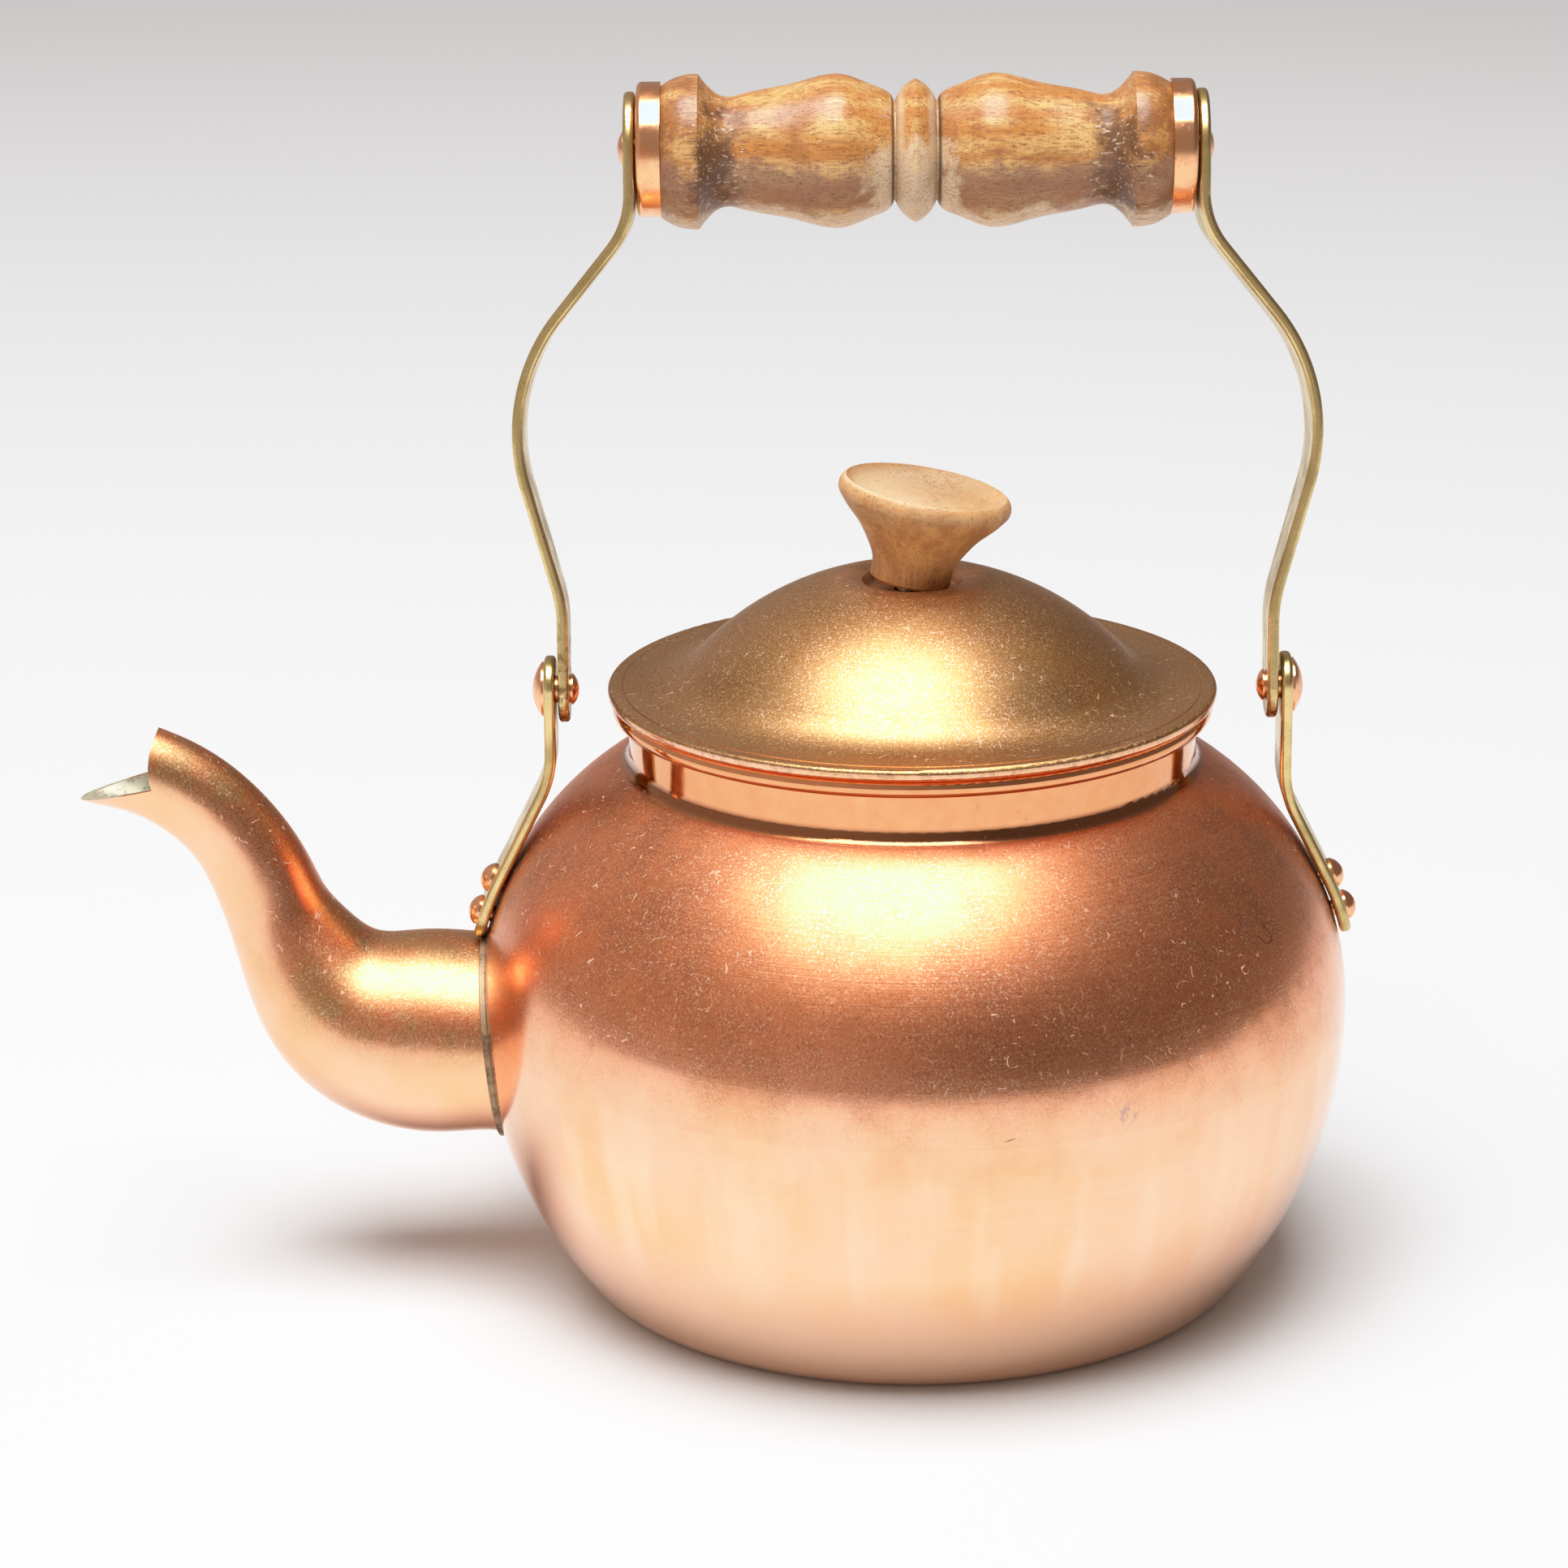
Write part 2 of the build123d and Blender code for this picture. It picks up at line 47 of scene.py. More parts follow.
GRAIN_PALE = (0.99, 0.74, 0.52, 1)
GRAIN_DARK = (0.28, 0.11, 0.05, 1)
DUST = (0.74, 0.62, 0.50, 1)
GRIME = (0.045, 0.026, 0.016, 1)
SCUFF_GREY = (0.36, 0.27, 0.27, 1)

# The other metals.
TIN = (0.50, 0.47, 0.35, 1)
TIN_DULL = (0.25, 0.22, 0.18, 1)
TIN_SPOT = (0.13, 0.11, 0.08, 1)
SOLDER = (0.21, 0.185, 0.115, 1)
BRASS = (0.76, 0.575, 0.27, 1)
BRASS_OLIVE = (0.49, 0.365, 0.15, 1)
BRASS_SPECK = (0.10, 0.065, 0.03, 1)
BRASS_STAIN = (0.15, 0.062, 0.026, 1)
STEEL = (0.52, 0.50, 0.47, 1)
STEEL_RUST = (0.20, 0.11, 0.06, 1)

# The grip's wood.
GRIP_HONEY = (0.76, 0.45, 0.165, 1)
GRIP_AMBER = (0.57, 0.235, 0.055, 1)
GRIP_RUSSET = (0.40, 0.135, 0.034, 1)
GRIP_THREAD = (0.28, 0.10, 0.03, 1)
GRIP_MOTTLE = (0.30, 0.10, 0.028, 1)
GRIP_RING = (0.30, 0.12, 0.04, 1)
GRIP_PAINTED_SHADE = (0.29, 0.135, 0.082, 1)
GRIP_COLLAR = (0.27, 0.10, 0.03, 1)
GRIP_BURNT = (0.105, 0.036, 0.013, 1)
GRIP_BARE = (0.80, 0.62, 0.41, 1)
GRIP_GROOVE = (0.05, 0.025, 0.014, 1)
GRIP_TICK = (0.10, 0.04, 0.018, 1)

# The knob's wood.
KNOB_LIGHT = (0.72, 0.36, 0.13, 1)
KNOB_DARK = (0.50, 0.22, 0.07, 1)
KNOB_THREAD = (0.38, 0.15, 0.05, 1)
KNOB_STREAK = (0.60, 0.36, 0.17, 1)
KNOB_TOP_PAINTED_LIGHT = (0.82, 0.60, 0.38, 1)
KNOB_STAIN = (0.34, 0.15, 0.05, 1)
KNOB_PORE = (0.16, 0.07, 0.03, 1)
KNOB_FOOT_PAINTED_SHADOW = (0.10, 0.045, 0.02, 1)

# The studio, with the floor's side in metres.
PAPER_GREY = (0.74, 0.77, 0.80, 1)
PAPER_PALE = (0.78, 0.81, 0.835, 1)
ROOM_LEFT = (0.50, 0.42, 0.38, 1)
ROOM_RIGHT = (0.19, 0.155, 0.14, 1)
BACKDROP = (0.55, 0.55, 0.56, 1)
FLOOR_SIZE = 24

# The room goes from its left colour to its right one while X goes from minus this to this.
ROOM_TURN = 0.5

# Small marks on the body, in metres.
SCUFF = (0.0356, -0.0716, 0.0566)
SCRATCH = (0.0151, -0.0785, 0.0546)
SQUIGGLE = (0.0631, -0.0419, 0.0788)

# The spout's root on the body, a circle that faces along X.
ROOT_HEIGHT = 45.8 * MM
ROOT_RADIUS = 20.3 * MM

# Places along the grip, from its middle.
BEAD_FLANK = 3.0 * MM
GROOVE = 4.2 * MM
COVE = 36 * MM
COLLAR = 42 * MM

# From one lathe line to the next.
LATHE_LINE = 0.35 * MM

# The shader's own sockets that a finish may set to one fixed number.
FIXED_SOCKETS = {
    "coat": "Coat Weight",
    "coat_roughness": "Coat Roughness",
    "specular": "Specular IOR Level",
}

# The Mix node's sockets by number, because several of them share a name.
MIX_NUMBERS = (2, 3)
MIX_COLOURS = (6, 7)
MIX_COLOUR_OUT = 2

# The softbox, in metres and watts.
SOFTBOX_SIZE = (1.62, 1.70)
SOFTBOX_WATTS = 76
SOFTBOX_PLACE = (-0.21, -0.51, 2.2)

# The camera: its sensor and lens in millimetres, its place in metres and its roll in degrees.
SENSOR_WIDTH = 36
FOCAL_LENGTH = 113.25
CAMERA_PLACE = (-0.0180, -0.8608, 0.3670)
CAMERA_AIM = (-0.0060, 0.9530, -0.3027)
CAMERA_ROLL = -0.47

# The tone curve: the light that becomes white, and points from a share of it to what is shown.
WHITE_LEVEL = 1.5
SHOULDER = ((0.23, 0.345), (0.467, 0.69), (0.60, 0.845), (0.733, 0.945), (0.85, 0.99))
COMBINED_CURVE = 3


class Finish:
    """A material's node tree, with a short method for each kind of node that the finishes share."""

    def __init__(self, name):
        self.material = bpy.data.materials.new(name)
        self.material.use_nodes = True
        self.tree = self.material.node_tree
        self.tree.nodes.clear()
        coordinates = self.add("TexCoord")
        self.place = coordinates.outputs["Object"]
        self.normal = coordinates.outputs["Normal"]
        self.x, self.y, self.z = self.split(self.place)
        self.up = self.split(self.normal)[2]

    def add(self, kind, sockets=None, **settings):
        """A new node, with its settings, and its sockets linked or set."""
        node = self.tree.nodes.new("ShaderNode" + kind)
        for name, value in settings.items():
            setattr(node, name, value)
        for key, value in (sockets or {}).items():
            if isinstance(value, bpy.types.NodeSocket):
                self.tree.links.new(value, node.inputs[key])
            else:
                node.inputs[key].default_value = value
        return node

    def split(self, vector):
        """The vector's three parts."""
        return self.add("SeparateXYZ", {0: vector}).outputs

    def join(self, x, y, z):
        """A vector from three parts."""
        return self.add("CombineXYZ", {0: x, 1: y, 2: z}).outputs[0]

    def calc(self, operation, first, second=0.0, third=0.0):
        """One step of arithmetic."""
        return self.add("Math", {0: first, 1: second, 2: third}, operation=operation).outputs[0]

    def times(self, *values):
        """The product of all the values."""
        product = values[0]
        for value in values[1:]:
            product = self.calc("MULTIPLY", product, value)
        return product

    def most(self, *values):
        """The largest of the values."""
        largest = values[0]
        for value in values[1:]:
            largest = self.calc("MAXIMUM", largest, value)
        return largest

    def vary(self, value, noise, amount):
        """The value moved up and down by noise, which lies round a half."""
        return self.calc("MULTIPLY_ADD", self.calc("SUBTRACT", noise, 0.5), amount, value)

    def rise(self, value, start, end, low=0.0, high=1.0):
        """A smooth change from low to high as the value goes from start to end."""
        sockets = {
            "Value": value,
            "From Min": start,
            "From Max": end,
            "To Min": low,
            "To Max": high,
        }
        return self.add("MapRange", sockets, interpolation_type="SMOOTHSTEP").outputs[0]

    def near(self, value, centre, reach):
        """1 at the centre value, falling smoothly to 0 at that reach on each side."""
        away = self.calc("ABSOLUTE", self.calc("SUBTRACT", value, centre))
        return self.rise(away, reach, 0.0)

    def dot(self, first, second):
        """The dot product of two vectors."""
        product = self.add("VectorMath", {0: first, 1: second}, operation="DOT_PRODUCT")
        return product.outputs["Value"]

    def offset(self, centre):
        """The way from a centre to each point of the surface."""
        return self.add("VectorMath", {0: self.place, 1: centre}, operation="SUBTRACT").outputs[0]

    def length(self, *parts):
        """The length of a vector, from its parts."""
        squares = [self.calc("POWER", self.calc("ABSOLUTE", part), 2.0) for part in parts]
        total = squares[0]
        for square in squares[1:]:
            total = self.calc("ADD", total, square)
        return self.calc("SQRT", total)

    def compass(self):
        """The distance from the upright axis, and the direction from it as two parts."""
        radius = self.length(self.x, self.y)
        return radius, self.calc("DIVIDE", self.x, radius), self.calc("DIVIDE", self.y, radius)

    def noise(self, size, detail=2.0, rough=0.5, vector=None):
        """Noise whose lumps are about that size, in metres."""
        sockets = {
            "Vector": vector or self.place,
            "Scale": 1 / size,
            "Detail": detail,
            "Roughness": rough,
        }
        return self.add("TexNoise", sockets).outputs["Fac"]

    def stretched(self, x_size, y_size, z_size, detail=2.0):
        """Noise whose lumps have a length of their own along each axis."""
        scale = (1 / x_size, 1 / y_size, 1 / z_size)
        scaled = self.add("VectorMath", {0: self.place, 1: scale}, operation="MULTIPLY")
        sockets = {"Vector": scaled.outputs[0], "Scale": 1.0, "Detail": detail}
        return self.add("TexNoise", sockets).outputs["Fac"]

    def specks(self, spacing, share, radius):
        """Round specks, one in each of a share of cells of that spacing, with that radius."""
        cells = self.add("TexVoronoi", {"Vector": self.place, "Scale": 1 / spacing})
        chosen = self.calc("GREATER_THAN", share, self.split(cells.outputs["Color"])[0])
        core = 0.4 * radius
        spot = self.rise(cells.outputs["Distance"], radius / spacing, core / spacing)
        return self.times(chosen, spot)

    def fibres(self, spacing, length, width):
        """Short curled hairs, as lint leaves."""
        field = self.noise(spacing, detail=0.0)
        line = self.near(field, 0.5, width / spacing)
        parts = self.rise(self.noise(length, detail=1.0), 0.60, 0.66)
        return self.times(line, parts)

    def mix(self, amount, first, second):
        """The first colour where the amount is 0, and the second where it is 1."""
        sockets = {0: amount, MIX_COLOURS[0]: first, MIX_COLOURS[1]: second}
        return self.add("Mix", sockets, data_type="RGBA").outputs[MIX_COLOUR_OUT]

    def blend_numbers(self, amount, first, second):
        """The first number where the amount is 0, and the second where it is 1."""
        sockets = {0: amount, MIX_NUMBERS[0]: first, MIX_NUMBERS[1]: second}
        return self.add("Mix", sockets, data_type="FLOAT").outputs[0]

    def bump(self, height, depth, before=None):
        """The surface tilted as that height field would, depth metres deep."""
        sockets = {"Height": height, "Distance": depth, "Strength": 1.0}
        if before is not None:
            sockets["Normal"] = before
        return self.add("Bump", sockets).outputs[0]

    def finish(self, colour, roughness, metallic, normal=None, **fixed):
        """The surface shader and the output. Fixed numbers are set on the shader itself."""
        sockets = {"Base Color": colour, "Roughness": roughness, "Metallic": metallic}
        if normal is not None:
            sockets["Normal"] = normal
        surface = self.add("BsdfPrincipled", sockets)
        for name, value in fixed.items():
            surface.inputs[FIXED_SOCKETS[name]].default_value = value
        self.add("OutputMaterial", {"Surface": surface.outputs[0]})
        return self.material


def spun_lines(f):
    """Fine rings left by spinning the metal on a lathe."""
    radius, east, north = f.compass()
    across = f.times(f.z, 1 / LATHE_LINE)
    around = f.join(f.times(east, 2.5), f.times(north, 2.5), across)
    outward = f.times(radius, 1 / LATHE_LINE)
    sockets = {"Vector": around, "W": outward, "Scale": 1.0, "Detail": 2.0}
    return f.add("TexNoise", sockets, noise_dimensions="4D").outputs["Fac"]


def worn_copper(f, film_share, film, deep_film, smooth, satin, grit):
    """Colour, roughness, metal share and normal of copper with a film on its upward faces.

    The film covers at most film_share, in two colours. The copper is as rough as smooth where
    it is clean and as satin under the film, and its grain is grit millimetres deep.
    """
    patches = f.noise(26 * MM, detail=5.0, rough=0.6)
    clouds = f.noise(7 * MM, detail=6.0, rough=0.65)
    grain = f.noise(0.40 * MM, detail=2.0, rough=0.7)
    lines = spun_lines(f)
    ragged = f.calc("ADD", f.times(patches, 0.55), f.times(clouds, 0.45))
    facing = f.calc("ADD", f.up, f.calc("MULTIPLY_ADD", ragged, 0.5, -0.25))
    filmed = f.times(f.rise(facing, -0.16, 0.42), film_share)
    matte = f.times(f.rise(facing, 0.0, 0.60), film_share)
    base = f.mix(f.rise(patches, 0.35, 0.7), COPPER_CLEAN, COPPER_WARM)
    base = f.mix(f.times(f.rise(lines, 0.55, 0.75), 0.25), base, COPPER_PALE)
    film_colour = f.mix(f.rise(ragged, 0.42, 0.62), film, deep_film)
    colour = f.mix(filmed, base, film_colour)
    # Fine pale and dark grain over the film.
    grainy = f.times(f.rise(facing, -0.10, 0.30), film_share)
    pale = f.times(f.rise(grain, 0.55, 0.66), f.rise(clouds, 0.3, 0.6, 0.3, 1.0), grainy, 0.75)
    dark = f.times(f.rise(grain, 0.45, 0.34), grainy, 0.50)
    colour = f.mix(pale, colour, GRAIN_PALE)
    colour = f.mix(dark, colour, GRAIN_DARK)
    # Dust and lint lie on it in places.
    where = f.rise(f.noise(34 * MM, detail=3.0), 0.38, 0.60)
    fine_lint = f.fibres(2.6 * MM, 1.5 * MM, 0.045 * MM)
    long_lint = f.fibres(4.1 * MM, 2.3 * MM, 0.05 * MM)
    lint = f.most(fine_lint, long_lint)
    dots = f.most(f.specks(0.9 * MM, 0.30, 0.10 * MM), f.specks(2.3 * MM, 0.40, 0.17 * MM))
    dirt = f.times(f.most(lint, dots), where, f.rise(f.up, -0.55, 0.15), 0.75)
    colour = f.mix(dirt, colour, DUST)
    roughness = f.blend_numbers(matte, smooth, satin)
    roughness = f.vary(roughness, grain, 0.12)
    roughness = f.vary(roughness, clouds, 0.10)
    roughness = f.vary(roughness, lines, 0.10)
    roughness = f.blend_numbers(dirt, roughness, 0.8)
    metal = f.blend_numbers(dirt, 1.0, 0.15)
    normal = f.bump(f.times(grain, f.rise(matte, 0.0, 1.0, 0.15, 1.0)), grit * MM)
    normal = f.bump(f.times(lines, f.rise(matte, 0.0, 0.9, 0.12, 1.0)), 0.022 * MM, normal)
    return colour, roughness, metal, normal


def body_copper():
    """The spun body: satin above, smoother below, a mirror-bright neck and a tinned inside."""
    f = Finish("body_copper")
    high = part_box("body_shell")[1]
    colour, roughness, metal, normal = worn_copper(
        f, film_share=0.85, film=FILM_RED, deep_film=FILM_BROWN,
        smooth=0.12, satin=0.45, grit=0.009)
    radius, east, north = f.compass()
    # Pale streaks run down the lower half, and the lowest part is painted pale all round as a
    # painted reflection of the lit floor.
    upright = f.join(f.times(east, 9), f.times(north, 9), f.times(f.z, 14))
    streak = f.noise(1.0, detail=3.0, vector=upright)
    streak = f.times(f.rise(streak, 0.42, 0.66), f.rise(f.z, 62 * MM, 40 * MM), 0.45)
    colour = f.mix(f.most(streak, f.rise(f.z, 26 * MM, 4 * MM)), colour, COPPER_PALE)
    # The neck was left bright, and is rubbed by the lid. Its foot is darkened with painted shade.
    neck = f.rise(f.z, high.z - 13 * MM, high.z - 11.5 * MM)
    neck = f.times(neck, f.rise(radius, 60 * MM, 57 * MM))
    colour = f.mix(neck, colour, f.mix(f.noise(3 * MM, 4.0), NECK_BRIGHT, NECK_RUBBED))
    shade = f.times(neck, f.rise(f.z, high.z - 9.3 * MM, high.z - 10.5 * MM), 0.75)
    colour = f.mix(shade, colour, NECK_PAINTED_SHADE)
    neck_shine = f.rise(f.noise(2 * MM, 5.0), 0.3, 0.8, 0.05, 0.14)
    roughness = f.blend_numbers(neck, roughness, neck_shine)
    # Grime sits round the spout's root.
    root = f.length(f.y, f.calc("SUBTRACT", f.z, ROOT_HEIGHT))
    grimy = f.times(f.near(root, ROOT_RADIUS, 1.3 * MM), f.rise(f.x, 0, -40 * MM))
    grimy = f.times(grimy, f.rise(f.noise(5 * MM, 5.0, 0.65), 0.35, 0.7), 0.75)
    colour = f.mix(grimy, colour, GRIME)
    roughness = f.blend_numbers(grimy, roughness, 0.7)
    # A grey scuff, a short scratch and a dark squiggle mark one side.
    scuff = f.length(*f.split(f.offset(SCUFF)))
    scuff = f.times(f.rise(scuff, 2.6 * MM, 1.2 * MM), f.rise(f.noise(1.6 * MM, 4.0), 0.50, 0.58))
    colour = f.mix(f.times(scuff, 0.6), colour, SCUFF_GREY)
    beside, _, above = f.split(f.offset(SCRATCH))
    slant = f.calc("MULTIPLY_ADD", beside, -0.25, above)
    scratch = f.times(f.near(slant, 0, 0.25 * MM), f.near(beside, 0, 1.4 * MM))
    scratch = f.times(scratch, f.rise(f.y, 0, -10 * MM))
    squiggle = f.length(*f.split(f.offset(SQUIGGLE)))
    curl = f.near(f.noise(3.0 * MM, 0.0), 0.5, 0.035)
    squiggle = f.times(curl, f.rise(squiggle, 4 * MM, 3 * MM))
    colour = f.mix(f.times(f.most(scratch, squiggle), 0.8), colour, GRIME)
    # Inside it is tinned.
    inside = f.rise(f.dot(f.normal, f.offset((0, 0, high.z / 2))), 0.0, -0.5 * MM)
    inside = f.times(inside, f.rise(f.z, high.z - 5 * MM, high.z - 9 * MM))
    tin = f.mix(f.rise(f.noise(4 * MM, 6.0), 0.4, 0.7), TIN, TIN_DULL)
    colour = f.mix(inside, colour, tin)
    roughness = f.blend_numbers(inside, roughness, 0.42)
    return f.finish(colour, roughness, metal, normal)


def spout_copper():
    """The spout: the body's copper, with a tinned throat."""
    f = Finish("spout_copper")
    low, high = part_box("spout")
    colour, roughness, metal, normal = worn_copper(
        f, film_share=0.85, film=FILM_RED, deep_film=FILM_OLIVE,
        smooth=0.22, satin=0.42, grit=0.012)
    # Near the mouth, a face that looks towards the spout's own axis is inside.
    mouth = Vector((low.x + 15 * MM, 0, high.z - 14 * MM))
    slope = math.radians(155)
    heading = Vector((math.cos(slope), 0, math.sin(slope)))
    away = f.offset(mouth)
    along = f.dot(away, heading)
    stretch = f.add("VectorMath", {0: heading, "Scale": along}, operation="SCALE").outputs[0]
    outward = f.add("VectorMath", {0: away, 1: stretch}, operation="SUBTRACT").outputs[0]
    inside = f.rise(f.dot(f.normal, outward), 0.0, -0.4 * MM)
    inside = f.times(inside, f.rise(f.x, low.x + 38 * MM, low.x + 30 * MM))
    spots = f.rise(f.noise(1.6 * MM, 6.0, 0.7), 0.52, 0.66)
    tin = f.mix(f.times(spots, 0.75), TIN, TIN_SPOT)
    colour = f.mix(inside, colour, tin)
    roughness = f.blend_numbers(inside, roughness, 0.5)
    metal = f.blend_numbers(inside, metal, 0.5)
    return f.finish(colour, roughness, metal, normal)


def lid_copper():
    """The lid: an olive-gold film with a grainy satin shine."""
    f = Finish("lid_copper")
    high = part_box("lid_shell")[1]
    colour, roughness, metal, normal = worn_copper(
        f, film_share=0.95, film=FILM_OLIVE, deep_film=LID_BROWN,
        smooth=0.2, satin=0.42, grit=0.020)
    radius = f.length(f.x, f.y)
    # Hands keep the crown round the knob a little cleaner.
    rubbed = f.times(f.rise(radius, 20 * MM, 9 * MM), f.rise(f.noise(5 * MM, 5.0), 0.3, 0.7), 0.7)
    colour = f.mix(rubbed, colour, COPPER_WARM)
    # Dark wear follows the rolled edge.
    rim = f.rise(radius, high.x - 1.6 * MM, high.x - 0.2 * MM)
    rim = f.times(rim, f.rise(f.noise(1.5 * MM, 5.0, 0.7), 0.45, 0.65), 0.4)
    colour = f.mix(rim, colour, RIM_WEAR)
    return f.finish(colour, roughness, metal, normal)


def bright_copper():
    """Bright copper with dull patches, for the ferrules, the rivets, the rod and the lid's ring."""
    f = Finish("bright_copper")
    clouds = f.noise(3 * MM, detail=6.0, rough=0.65)
    fine = f.noise(0.35 * MM, detail=4.0, rough=0.6)
    colour = f.mix(f.rise(clouds, 0.4, 0.7), COPPER_WARM, COPPER_DEEP)
    dull = f.times(f.rise(f.noise(1.3 * MM, 5.0, 0.7), 0.55, 0.72), 0.55)
    colour = f.mix(dull, colour, COPPER_DULL)
    roughness = f.rise(clouds, 0.3, 0.75, 0.14, 0.30)
    roughness = f.blend_numbers(dull, roughness, 0.45)
    return f.finish(colour, roughness, 1.0, f.bump(fine, 0.012 * MM))


def brass(name, stained_from=None, stained_to=None):
    """Yellow brass gone olive, with dark specks.

    Where two heights are given, a ragged stain fades away from the first up to the second.
    """
    f = Finish(name)
    patches = f.noise(9 * MM, detail=6.0, rough=0.62)
    fine = f.noise(0.5 * MM, detail=4.0, rough=0.65)
    colour = f.mix(f.rise(patches, 0.35, 0.68), BRASS, BRASS_OLIVE)
    speckled = f.rise(f.noise(6 * MM, 3.0), 0.42, 0.6)
    dark = f.times(f.specks(0.9 * MM, 0.35, 0.16 * MM), speckled, 0.8)
    colour = f.mix(dark, colour, BRASS_SPECK)
    roughness = f.rise(patches, 0.3, 0.75, 0.22, 0.40)
    roughness = f.vary(roughness, fine, 0.12)
    if stained_from is not None:
        ragged = f.rise(f.noise(2.2 * MM, 6.0, 0.7), 0.42, 0.58)
        stain = f.times(f.rise(f.z, stained_to, stained_from), ragged)
        colour = f.mix(f.times(stain, 0.85), colour, BRASS_STAIN)
        roughness = f.blend_numbers(stain, roughness, 0.5)
    return f.finish(colour, roughness, 1.0, f.bump(fine, 0.010 * MM))


def solder():
    """The soldered seam: pale yellow-grey, with grime in its hollows."""
    f = Finish("seam_solder")
    lumps = f.noise(0.9 * MM, detail=5.0, rough=0.7)
    grime = f.rise(f.noise(4 * MM, 5.0, 0.65), 0.48, 0.70, 0.0, 0.8)
    colour = f.mix(grime, f.mix(f.times(lumps, 0.4), SOLDER, COPPER_WARM), GRIME)
    roughness = f.blend_numbers(grime, 0.5, 0.8)
    return f.finish(colour, roughness, 0.5, f.bump(lumps, 0.05 * MM))


def steel():
    """Plain steel for the knob's screw and washer."""
    f = Finish("plain_steel")
    fine = f.noise(0.6 * MM, detail=5.0, rough=0.6)
    spots = f.rise(f.noise(1.6 * MM, 6.0, 0.7), 0.58, 0.72)
    colour = f.mix(f.times(spots, 0.6), STEEL, STEEL_RUST)
    return f.finish(colour, f.rise(fine, 0.3, 0.7, 0.28, 0.42), 1.0, f.bump(fine, 0.01 * MM))


def grip_wood():
    """Lacquered wood turned along X: honey above, dull brown painted shade below, with burnt and
    bare places.
    """
    f = Finish("grip_wood")
    low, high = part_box("grip")
    centre = (low + high) / 2
    along = f.calc("ABSOLUTE", f.calc("SUBTRACT", f.x, centre.x))
    height = f.calc("SUBTRACT", f.z, centre.z)
    grain = f.stretched(45 * MM, 4.5 * MM, 3.0 * MM, detail=6.0)
    threads = f.stretched(9 * MM, 0.45 * MM, 0.45 * MM, detail=3.0)
    patches = f.noise(11 * MM, detail=5.0, rough=0.6)
    blotches = f.noise(7 * MM, detail=8.0, rough=0.72)
    ticks = f.rise(f.stretched(1.7 * MM, 0.20 * MM, 0.20 * MM, detail=1.0), 0.64, 0.69)
    ticks = f.times(ticks, 0.8)
    rings = f.stretched(0.35 * MM, 40 * MM, 40 * MM, detail=2.0)
    colour = f.mix(f.rise(grain, 0.36, 0.62), GRIP_HONEY, GRIP_AMBER)
    colour = f.mix(f.rise(patches, 0.48, 0.66, 0.0, 0.75), colour, GRIP_RUSSET)
    colour = f.mix(f.times(f.rise(threads, 0.46, 0.64), 0.55), colour, GRIP_THREAD)
    mottle = f.rise(blotches, 0.50, 0.66, 0.0, 0.40)
    colour = f.mix(mottle, colour, GRIP_MOTTLE)
    colour = f.mix(f.rise(rings, 0.5, 0.7, 0.0, 0.22), colour, GRIP_RING)
    # The lower side is painted a dull purple brown as painted shade, and is rougher where it has
    # lost its lacquer.
    lower = f.rise(height, 7 * MM, -6 * MM)
    lower_shade_and_wear = f.rise(f.vary(lower, patches, 2.2), 0.42, 0.75)
    lower_shade_and_wear = f.times(lower_shade_and_wear, f.rise(height, -13 * MM, -7 * MM, 0.25, 1.0))
    colour = f.mix(f.times(lower_shade_and_wear, 0.66), colour, GRIP_PAINTED_SHADE)
    collar = f.times(f.rise(along, COVE, COLLAR), f.rise(blotches, 0.40, 0.58, 0.15, 0.9))
    colour = f.mix(collar, colour, GRIP_COLLAR)
    # The coves by the collars, and the collars' flanks, are burnt.
    cove = f.times(f.near(along, COVE, 10 * MM), f.rise(height, 13 * MM, 2 * MM, 0.35, 1.0))
    burnt = f.rise(f.vary(cove, blotches, 2.6), 0.38, 1.0)
    colour = f.mix(f.times(burnt, 0.86), colour, GRIP_BURNT)
    # Bare grey wood shows by the grooves, on the bead, along the bottom and as flakes in the coves.
    by_grooves = f.rise(along, 14 * MM, 3 * MM, 0.0, 0.85)
    by_grooves = f.times(by_grooves, f.rise(height, 12 * MM, -4 * MM, 0.35, 1.0))
    bottom = f.rise(height, -4 * MM, -12 * MM, 0.0, 0.8)
    bare = f.vary(f.most(by_grooves, bottom), blotches, 2.0)
    bare = f.rise(bare, 0.42, 0.72)
    crumbs = f.rise(f.stretched(1.4 * MM, 0.6 * MM, 0.6 * MM, detail=4.0), 0.58, 0.64)
    on_bead = f.times(f.near(along, BEAD_FLANK, 1.5 * MM), 0.85)
    bare = f.most(bare, on_bead, f.times(crumbs, f.rise(cove, 0.1, 0.6), 0.8))
    paling = f.times(bare, f.rise(threads, 0.35, 0.6, 0.45, 0.80))
    colour = f.mix(paling, colour, GRIP_BARE)
    # Dirt fills the two grooves beside the bead, and the joints at the ends.
    dirt = f.most(f.near(along, GROOVE, 0.5 * MM), f.rise(along, 45.4 * MM, 45.9 * MM))
    colour = f.mix(f.times(dirt, 0.85), colour, GRIP_GROOVE)
    colour = f.mix(f.times(ticks, 0.8), colour, GRIP_TICK)
    roughness = f.blend_numbers(f.most(bare, burnt), 0.34, 0.72)
    roughness = f.blend_numbers(lower_shade_and_wear, roughness, 0.55)
    relief = f.calc("ADD", f.times(threads, 0.4), f.times(bare, 0.8))
    normal = f.bump(f.calc("SUBTRACT", relief, ticks), 0.08 * MM)
    normal = f.bump(rings, 0.012 * MM, normal)
    return f.finish(colour, roughness, 0.0, normal, coat=0.25, coat_roughness=0.22)


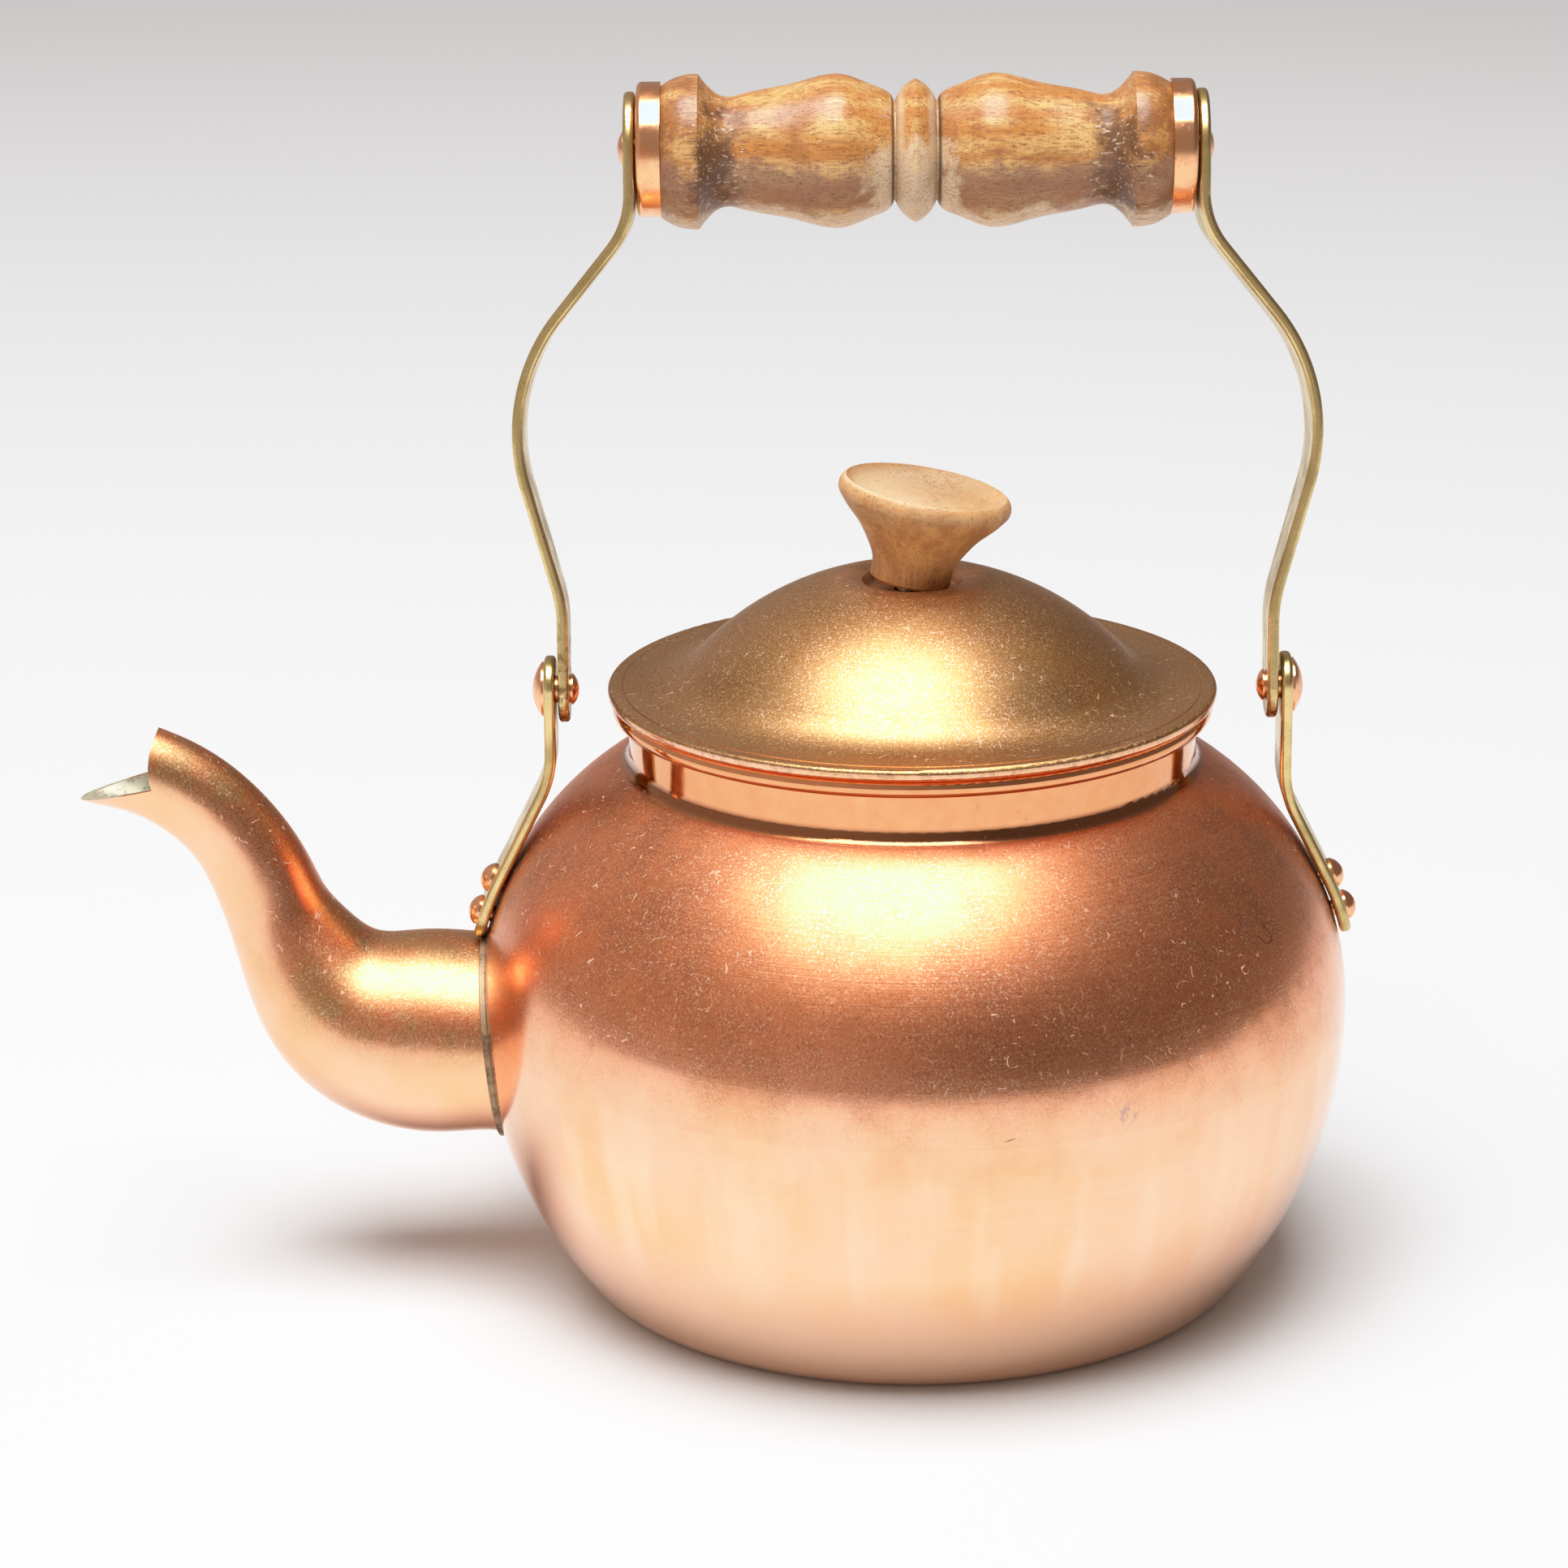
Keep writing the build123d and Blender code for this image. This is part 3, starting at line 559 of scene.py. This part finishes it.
def knob_wood():
    """Bare light wood turned upright, with small dark pores."""
    f = Finish("knob_wood")
    low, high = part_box("knob")
    grain = f.stretched(3.0 * MM, 3.6 * MM, 26 * MM, detail=5.0)
    threads = f.stretched(0.5 * MM, 0.5 * MM, 7 * MM, detail=3.0)
    pores = f.rise(f.stretched(0.26 * MM, 0.26 * MM, 0.8 * MM, detail=1.0), 0.64, 0.70)
    colour = f.mix(f.rise(grain, 0.35, 0.65), KNOB_LIGHT, KNOB_DARK)
    colour = f.mix(f.times(f.rise(threads, 0.45, 0.7), 0.35), colour, KNOB_THREAD)
    upper = f.rise(f.z, high.z - 9 * MM, high.z - 4 * MM)
    streaky = f.rise(f.stretched(5 * MM, 5 * MM, 0.6 * MM, detail=4.0), 0.35, 0.6, 0.2, 0.75)
    colour = f.mix(f.times(upper, streaky), colour, KNOB_STREAK)
    # Painted light: the upward faces of the top are painted paler, as if lit from above.
    top = f.times(f.rise(f.up, 0.6, 0.95), f.rise(f.z, high.z - 8 * MM, high.z - 3 * MM))
    colour = f.mix(f.times(top, 0.75), colour, KNOB_TOP_PAINTED_LIGHT)
    cluster = f.times(top, f.near(f.x, 5 * MM, 6 * MM), f.rise(f.noise(1.1 * MM, 3.0), 0.5, 0.6))
    colour = f.mix(f.times(cluster, 0.55), colour, KNOB_STAIN)
    colour = f.mix(f.times(pores, 0.6), colour, KNOB_PORE)
    # A painted contact shadow darkens the foot where it meets the lid.
    foot = f.rise(f.z, low.z + 1.6 * MM, low.z + 0.4 * MM)
    colour = f.mix(f.times(foot, 0.6), colour, KNOB_FOOT_PAINTED_SHADOW)
    normal = f.bump(f.calc("SUBTRACT", f.times(threads, 0.3), pores), 0.06 * MM)
    return f.finish(colour, f.rise(grain, 0.3, 0.7, 0.48, 0.6), 0.0, normal)


def dress_nodes():
    """Gives each CAD node its finish. The straps are stained near the bail's pivots."""
    pivot_height = frame["joints"][0]["pos_m"][2]
    small_copper = bright_copper()
    plain_brass = brass("bracket_brass")
    finishes = {
        "body_shell": body_copper(),
        "spout": spout_copper(),
        "spout_seam": solder(),
        "lid_shell": lid_copper(),
        "lid_ring": small_copper,
        "handle_rod": small_copper,
        "spout_bracket": plain_brass,
        "rear_bracket": plain_brass,
        "spout_strap": brass("spout_strap_brass", pivot_height, pivot_height + 20 * MM),
        "rear_strap": brass("rear_strap_brass", pivot_height - 12 * MM, pivot_height + 4 * MM),
        "grip": grip_wood(),
        "knob": knob_wood(),
    }
    plain_steel = steel()
    for name, node in frame["nodes"].items():
        if name in finishes:
            material = finishes[name]
        elif "rivet" in name or "ferrule" in name:
            material = small_copper
        else:
            material = plain_steel
        node.data.materials.clear()
        node.data.materials.append(material)
        for polygon in node.data.polygons:
            polygon.use_smooth = True


def make_floor():
    """A plain pale floor."""
    bpy.ops.mesh.primitive_grid_add(x_subdivisions=8, y_subdivisions=8, size=FLOOR_SIZE)
    floor = bpy.context.object
    floor.name = "floor"
    f = Finish("floor_paper")
    mottle = f.noise(0.9, detail=3.0)
    colour = f.mix(mottle, PAPER_GREY, PAPER_PALE)
    floor.data.materials.append(f.finish(colour, 0.75, 0.0, specular=0.2))


def make_light():
    """One large softbox overhead and a little in front, in a dim room that is paler on the left.

    The camera itself sees a plain pale backdrop.
    """
    softbox = bpy.data.lights.new("softbox", "AREA")
    softbox.shape = "RECTANGLE"
    softbox.size, softbox.size_y = SOFTBOX_SIZE
    softbox.energy = SOFTBOX_WATTS
    lamp = bpy.data.objects.new("softbox", softbox)
    lamp.location = SOFTBOX_PLACE
    bpy.context.scene.collection.objects.link(lamp)
    world = bpy.data.worlds.new("dim_room")
    world.use_nodes = True
    nodes, links = world.node_tree.nodes, world.node_tree.links
    dim = nodes["Background"]
    direction = nodes.new("ShaderNodeTexCoord")
    parts = nodes.new("ShaderNodeSeparateXYZ")
    links.new(direction.outputs["Generated"], parts.inputs[0])
    walls = nodes.new("ShaderNodeMapRange")
    walls.inputs["From Min"].default_value = -ROOM_TURN
    walls.inputs["From Max"].default_value = ROOM_TURN
    links.new(parts.outputs["X"], walls.inputs["Value"])
    shade = nodes.new("ShaderNodeMix")
    shade.data_type = "RGBA"
    shade.inputs[MIX_COLOURS[0]].default_value = ROOM_LEFT
    shade.inputs[MIX_COLOURS[1]].default_value = ROOM_RIGHT
    links.new(walls.outputs[0], shade.inputs[0])
    links.new(shade.outputs[MIX_COLOUR_OUT], dim.inputs["Color"])
    seen = nodes.new("ShaderNodeBackground")
    seen.inputs["Color"].default_value = BACKDROP
    path = nodes.new("ShaderNodeLightPath")
    either = nodes.new("ShaderNodeMixShader")
    links.new(path.outputs["Is Camera Ray"], either.inputs[0])
    links.new(dim.outputs[0], either.inputs[1])
    links.new(seen.outputs[0], either.inputs[2])
    links.new(either.outputs[0], nodes["World Output"].inputs["Surface"])
    bpy.context.scene.world = world


def make_camera():
    """A long lens looking a little down at the kettle's side, spout to the left."""
    lens = bpy.data.cameras.new("camera")
    lens.sensor_width = SENSOR_WIDTH
    lens.lens = FOCAL_LENGTH
    lens.clip_start = 0.05
    camera = bpy.data.objects.new("camera", lens)
    camera.location = CAMERA_PLACE
    aim = Vector(CAMERA_AIM)
    roll = Quaternion((0, 0, 1), math.radians(CAMERA_ROLL))
    camera.rotation_mode = "QUATERNION"
    camera.rotation_quaternion = aim.to_track_quat("-Z", "Y") @ roll
    bpy.context.scene.collection.objects.link(camera)
    bpy.context.scene.camera = camera


def set_tone():
    """Plain colours, with a soft shoulder that keeps detail in the brightest parts."""
    view = bpy.context.scene.view_settings
    view.view_transform = "Standard"
    view.use_curve_mapping = True
    mapping = view.curve_mapping
    mapping.white_level = (WHITE_LEVEL, WHITE_LEVEL, WHITE_LEVEL)
    curve = mapping.curves[COMBINED_CURVE]
    for brightness, level in SHOULDER:
        curve.points.new(brightness, level)
    mapping.update()


dress_nodes()
make_floor()
make_light()
make_camera()
set_tone()
